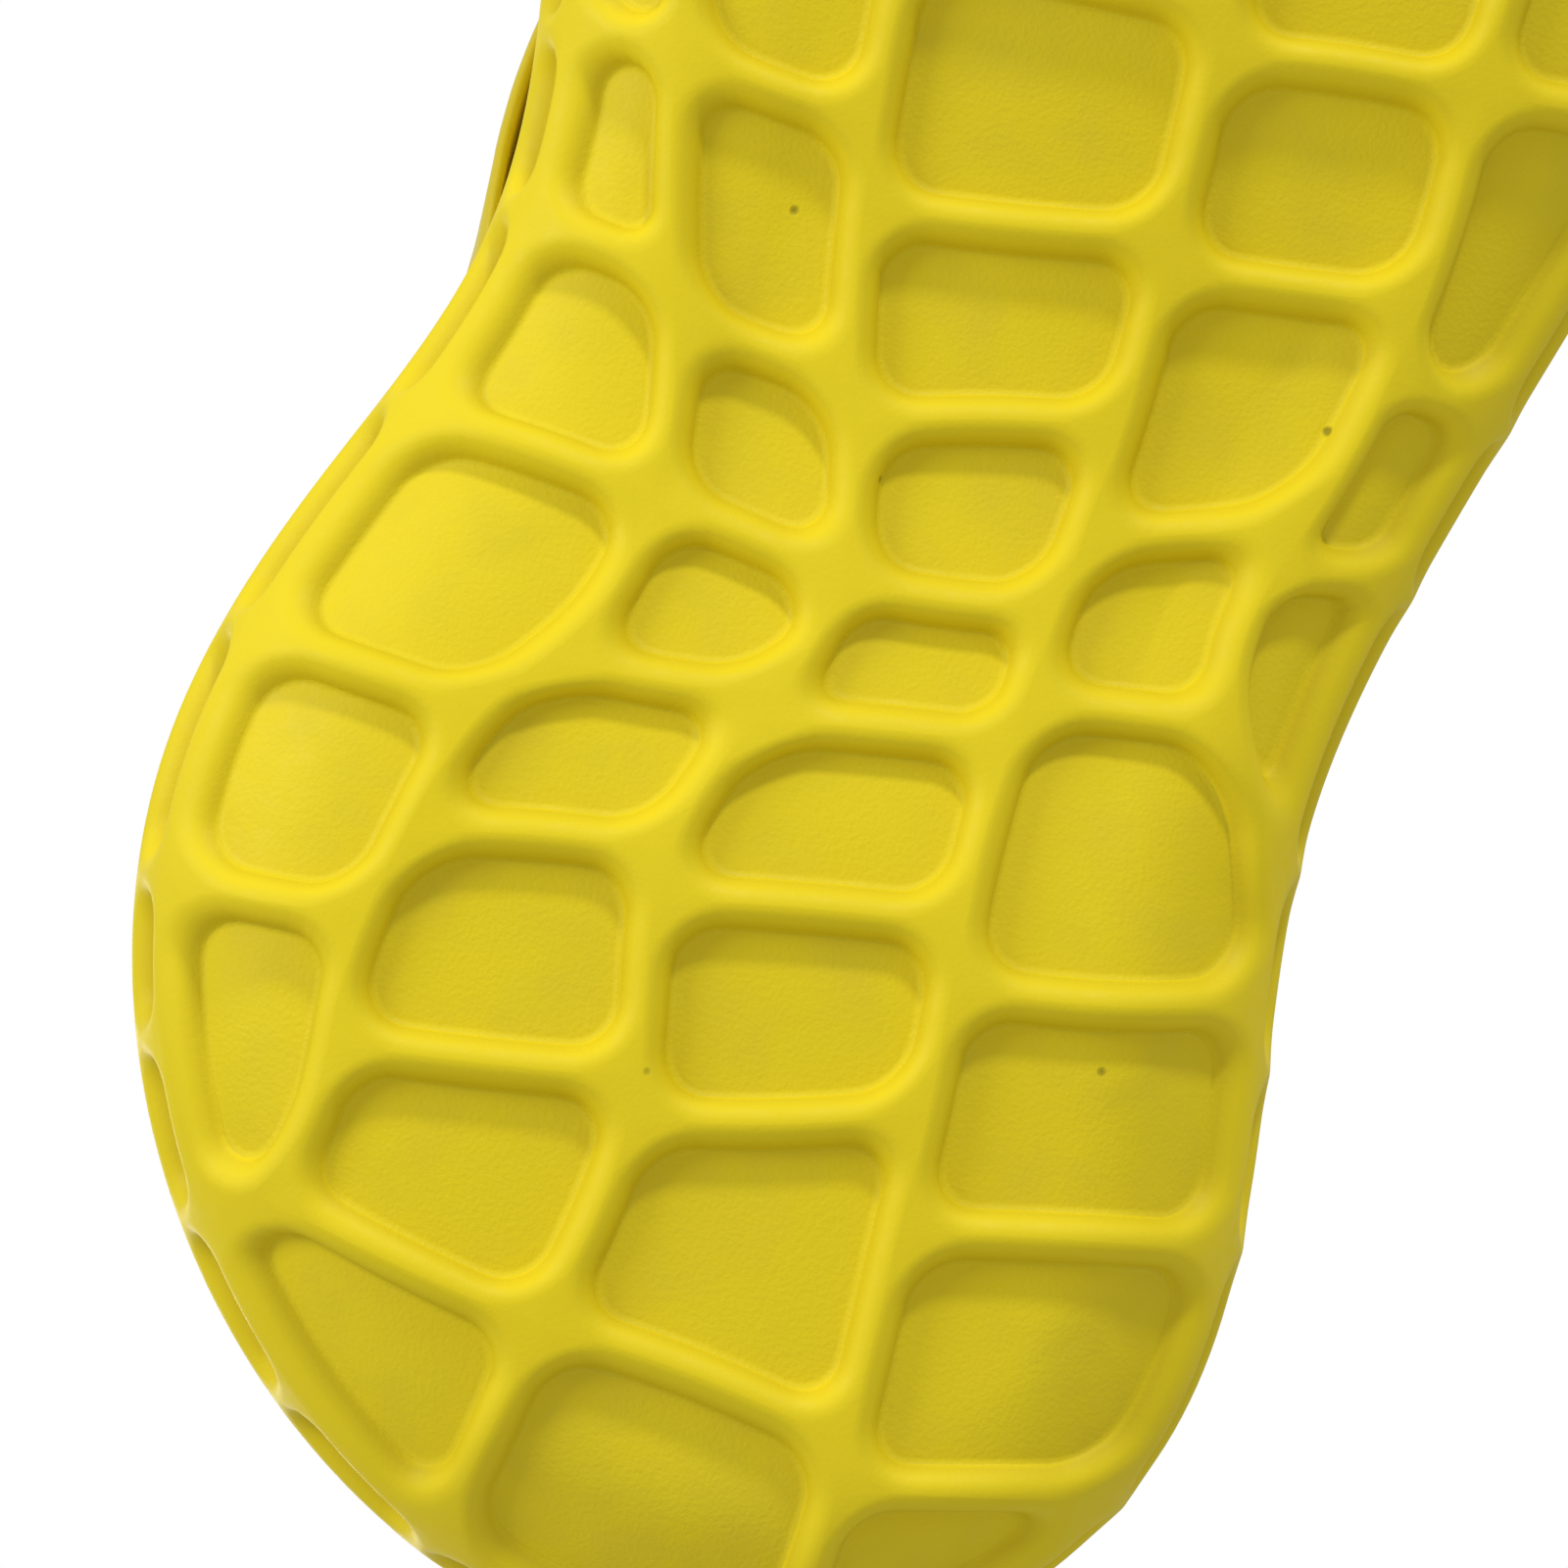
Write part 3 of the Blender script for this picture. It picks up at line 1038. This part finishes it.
def sole_rubber():
    """Rubber cured in a steel mould: satin ribs, floors with a fine cast grain, a few pinholes and grey dust."""
    material, tree = new_material("Moulded_Rubber_Sole", "Compression-moulded yellow rubber")
    place = node(tree, "ShaderNodeTexCoord").outputs["Object"]
    relief = node(tree, "ShaderNodeAttribute", attribute_name="relief").outputs["Fac"]
    pits = node(tree, "ShaderNodeTexVoronoi", {"Vector": place, "Scale": 95.0}).outputs["Distance"]
    pit = spread(tree, pits, 0.02, 0.045, 1.0, 0.0)
    colour = mixed(tree, clouds(tree, place, 45.0), "#dbc50e", "#e5d01a")
    floor = spread(tree, relief, 0.0, 0.12, 1.0, 0.0)
    dust = sum_of(tree, "MULTIPLY", floor, spread(tree, clouds(tree, place, 160.0, 6.0), 0.45, 0.75, 0.0, 0.22))
    colour = mixed(tree, dust, colour, "#bfae33")
    rising, falling = spread(tree, relief, 0.02, 0.3), spread(tree, relief, 0.3, 0.75, 1.0, 0.0)
    corner = sum_of(tree, "MULTIPLY", rising, falling)
    colour = mixed(tree, sum_of(tree, "MULTIPLY", corner, 0.22), colour, "#ab9416")
    colour = mixed(tree, sum_of(tree, "MULTIPLY", pit, 0.7), colour, "#6d6217")
    grain = sum_of(tree, "MULTIPLY", clouds(tree, place, 2600.0, 2.0), spread(tree, relief, 0.0, 0.6, 1.0, 0.35))
    height = sum_of(tree, "SUBTRACT", grain, sum_of(tree, "MULTIPLY", pit, 2.0))
    rough = spread(tree, clouds(tree, place, 700.0), 0.3, 0.7, 0.52, 0.66)
    finish(tree, colour, rough, height, 0.00005, Specular_IOR_Level=0.22)
    return material


def upper_rubber(name, dark, light, grain):
    """Rubber dipped and cured on a last: smooth, with faint flow clouds, fine dust and hairline scuffs."""
    material, tree = new_material(name, "Cured yellow rubber, smooth")
    place = node(tree, "ShaderNodeTexCoord").outputs["Object"]
    streak = node(tree, "ShaderNodeMapping", {"Vector": place, "Scale": (1.0, 0.12, 0.5)}).outputs["Vector"]
    scuff = spread(tree, clouds(tree, streak, 900.0, 2.0), 0.62, 0.75)
    colour = mixed(tree, clouds(tree, place, 28.0), dark, light)
    colour = mixed(tree, sum_of(tree, "MULTIPLY", scuff, 0.12), colour, "#f3ebae")
    sheen = spread(tree, clouds(tree, place, 180.0), 0.3, 0.7, 0.33, 0.45)
    rough = sum_of(tree, "ADD", sheen, sum_of(tree, "MULTIPLY", scuff, 0.15))
    height = sum_of(tree, "ADD", clouds(tree, place, grain, 3.0), sum_of(tree, "MULTIPLY", scuff, -0.4))
    finish(tree, colour, rough, height, 0.00003, Specular_IOR_Level=0.35)
    return material


def knit_height(tree, wale, course):
    """Rows of small V-shaped loops over a surface whose UV is in millimetres."""
    uv = node(tree, "ShaderNodeUVMap", uv_map="UVMap").outputs["UV"]
    parts = node(tree, "ShaderNodeSeparateXYZ", {0: uv}).outputs
    across = sum_of(tree, "FRACT", sum_of(tree, "DIVIDE", parts[0], wale))
    lean = sum_of(tree, "ABSOLUTE", sum_of(tree, "SUBTRACT", across, 0.5))
    rise = sum_of(tree, "ADD", sum_of(tree, "DIVIDE", parts[1], course), sum_of(tree, "MULTIPLY", lean, 1.3))
    loop = sum_of(tree, "ABSOLUTE", sum_of(tree, "SINE", sum_of(tree, "MULTIPLY", rise, math.pi)))
    leg = sum_of(tree, "ABSOLUTE", sum_of(tree, "SINE", sum_of(tree, "MULTIPLY", across, 2 * math.pi)))
    return sum_of(tree, "MULTIPLY", loop, sum_of(tree, "POWER", leg, 0.5))


def knit(name, dark, light, wale, course):
    """Weft-knitted polyester: rows of V-shaped loops with darker gaps and a soft sheen."""
    material, tree = new_material(name, "Weft-knitted polyester")
    place = node(tree, "ShaderNodeTexCoord").outputs["Object"]
    loops = knit_height(tree, wale, course)
    yarn = clouds(tree, place, 1500.0, 2.0)
    factor = sum_of(tree, "ADD", sum_of(tree, "MULTIPLY", loops, 0.8), sum_of(tree, "MULTIPLY", yarn, 0.2))
    colour = mixed(tree, factor, dark, light)
    height = sum_of(tree, "ADD", loops, sum_of(tree, "MULTIPLY", yarn, 0.3))
    finish(tree, colour, 0.86, height, 0.0003, Sheen_Weight=0.35, Sheen_Roughness=0.5)
    return material


def foam():
    """Closed-cell EVA foam: matt, with small cut cells."""
    material, tree = new_material("EVA_Foam", "Closed-cell moulded foam")
    place = node(tree, "ShaderNodeTexCoord").outputs["Object"]
    cells = node(tree, "ShaderNodeTexVoronoi", {"Vector": place, "Scale": 900.0}).outputs["Distance"]
    colour = mixed(tree, cells, "#8d9096", "#b4b7bb")
    finish(tree, colour, 0.8, cells, 0.0002)
    return material


def plain_stock(name, comment, dark, light, roughness, scale, depth, stretch=(1.0, 1.0, 1.0), metallic=0.0):
    """Sheet stock inside the clog: rolled steel, pressed fibre board or a stiffener, told apart by the grain."""
    material, tree = new_material(name, comment)
    place = node(tree, "ShaderNodeTexCoord").outputs["Object"]
    grain = node(tree, "ShaderNodeMapping", {"Vector": place, "Scale": stretch}).outputs["Vector"]
    value = clouds(tree, grain, scale, 5.0)
    rough = spread(tree, value, 0.3, 0.7, roughness - 0.06, roughness + 0.06)
    finish(tree, mixed(tree, value, dark, light), rough, value, depth, Metallic=metallic)
    return material


def thread():
    """Twisted polyester thread, three plies."""
    material, tree = new_material("Sewing_Thread", "Polyester thread")
    place = node(tree, "ShaderNodeTexCoord").outputs["Object"]
    ply = node(tree, "ShaderNodeTexWave", {"Vector": place, "Scale": 900.0, "Distortion": 1.0}).outputs["Fac"]
    finish(tree, mixed(tree, ply, "#d8c53a", "#efe27a"), 0.6, ply, 0.0001, Sheen_Weight=0.2)
    return material


# --- Stage, light and camera ---

AIM = np.array([0.0021, -0.0782, 0.004])
TOE_TILT = math.radians(18.0)
VIEW_LEAN = math.radians(4.0)
VIEW_WIDTH = 0.1132  # metres across the view at the tread
LENS = 170.0


def view_axes():
    """Unit vectors to the right and up in the main view, in the part's frame."""
    right = Vector((-math.cos(TOE_TILT), math.sin(TOE_TILT), 0))
    up = Vector((math.sin(TOE_TILT), math.cos(TOE_TILT), 0))
    return right, up


def add_camera():
    right, up = view_axes()
    data = bpy.data.cameras.new("Camera")
    camera = bpy.data.objects.new("Camera", data)
    bpy.context.scene.collection.objects.link(camera)
    data.lens = LENS
    distance = VIEW_WIDTH * LENS / data.sensor_width
    back = (Vector((0, 0, -1)) * math.cos(VIEW_LEAN) - right * math.sin(VIEW_LEAN)).normalized()
    camera.location = Vector(AIM) + back * distance
    side = up.cross(back).normalized()
    over = back.cross(side).normalized()
    camera.rotation_mode = "QUATERNION"
    camera.rotation_quaternion = Matrix((side, over, back)).transposed().to_quaternion()
    data.clip_start, data.clip_end = 0.02, 20.0
    bpy.context.scene.camera = camera


def add_light(name, direction, distance, size, power):
    """A round soft light in some direction from the middle of the view, in metres and watts."""
    data = bpy.data.lights.new(name, "AREA")
    data.shape = "DISK"
    data.size = size
    data.energy = power
    light = bpy.data.objects.new(name, data)
    bpy.context.scene.collection.objects.link(light)
    light.location = Vector(AIM) + Vector(direction).normalized() * distance
    light.rotation_mode = "QUATERNION"
    light.rotation_quaternion = (Vector(AIM) - light.location).to_track_quat("-Z", "Y")


def add_floor():
    """A pale floor that is seen from above only, so that the clog's underside can be looked at through it."""
    half, z = 3.0, -0.0002
    mesh = bpy.data.meshes.new("Floor")
    corners = [(-half, -half, z), (half, -half, z), (half, half, z), (-half, half, z)]
    mesh.from_pydata(corners, [], [(0, 1, 2, 3)])
    floor = bpy.data.objects.new("Floor", mesh)
    bpy.context.scene.collection.objects.link(floor)
    material, tree = new_material("Pale_Floor", "One-sided pale floor")
    back = node(tree, "ShaderNodeNewGeometry").outputs["Backfacing"]
    pale = node(tree, "ShaderNodeBsdfDiffuse", {"Color": linear("#f4f4f2")})
    clear = node(tree, "ShaderNodeBsdfTransparent")
    mixed = node(tree, "ShaderNodeMixShader", {0: back, 1: pale.outputs[0], 2: clear.outputs[0]})
    node(tree, "ShaderNodeOutputMaterial", {"Surface": mixed.outputs[0]})
    mesh.materials.append(material)
    floor.visible_shadow = False
    floor.visible_diffuse = False
    floor.visible_glossy = False


def add_world():
    """White surroundings; what lights the clog is dimmer than what is seen."""
    world = bpy.data.worlds.new("Studio")
    bpy.context.scene.world = world
    world.use_nodes = True
    tree = world.node_tree
    tree.nodes.clear()
    seen = node(tree, "ShaderNodeLightPath").outputs["Is Camera Ray"]
    strength = node(tree, "ShaderNodeMapRange", {"Value": seen, "To Min": 0.55, "To Max": 1.0})
    sky = node(tree, "ShaderNodeBackground", {"Color": (1, 1, 1, 1), "Strength": strength.outputs["Result"]})
    node(tree, "ShaderNodeOutputWorld", {"Surface": sky.outputs[0]})


# --- Build ---


def add_pieces():
    """Makes every piece that shows and gives the ones inside their materials."""
    sole = make_mesh("Outsole", outsole_surface(), sole_rubber())
    rubber = upper_rubber("Cured_Rubber_Upper", "#dfca1e", "#e9d52c", 900.0)
    edge = upper_rubber("Cured_Rubber_Binding", "#d3bd17", "#dcc722", 1400.0)
    cloth = knit("Lining_Knit", "#5d6268", "#b3b8bc", 1.3, 1.0)
    cover_cloth = knit("Cover_Knit", "#2f3b35", "#6d7f74", 0.9, 0.7)
    soft = foam()
    lined, bed, cover = lining(cloth), footbed(soft), footbed_cover(cover_cloth)
    made = {
        "outsole": (sole, "sole_rubber"),
        "upper_shell": (upper_shell(rubber), "upper_rubber"),
        "collar_binding": (collar_binding(edge), "upper_rubber"),
        "toe_guard": (toe_guard(edge), "upper_rubber"),
        "heel_guard": (heel_guard(edge), "upper_rubber"),
        "lining": (lined, "lining_knit"),
        "footbed": (bed, "foam"),
        "footbed_cover": (cover, "cover_cloth"),
    }
    for name, (thing, slot) in made.items():
        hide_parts(name)
    cover_stitches(thread())

    steel = plain_stock(
        "Spring_Steel", "Rolled spring steel", "#7d8084", "#a9acb0", 0.3, 700.0, 0.00001, (1, 0.04, 1), 1.0
    )
    board = plain_stock("Fibre_Board", "Pressed cellulose board", "#9a8a6c", "#bba985", 0.85, 1200.0, 0.0001)
    stiff = plain_stock("Stiffener", "Thermoplastic shoe stiffener", "#cfcabc", "#e2ded2", 0.6, 500.0, 0.00005)
    inside = {
        "midsole_wedge": (soft, "foam"),
        "heel_cushion": (soft, "foam"),
        "shank": (steel, "spring_steel"),
        "insole_board": (board, "fibre_board"),
        "heel_counter": (stiff, "stiffener"),
        "toe_puff": (stiff, "stiffener"),
    }
    for name, (material, slot) in inside.items():
        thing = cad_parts[name]
        thing.data.materials.clear()
        thing.data.materials.append(material)


def main():
    add_pieces()
    right, up = view_axes()
    left, down = -right, Vector((0, 0, -1))
    add_light("Key", up * 0.90 + right * 0.22 + down * 0.42, 2.4, 0.28, 25.0)
    add_light("Side", left * 0.85 + up * 0.4 + down * 0.4, 0.7, 0.3, 2.3)
    add_light("Top", (0.3, -0.4, 1.0), 1.0, 0.6, 3.0)
    add_floor()
    add_world()
    add_camera()


main()
bpy.context.scene.view_settings.view_transform = "Standard"
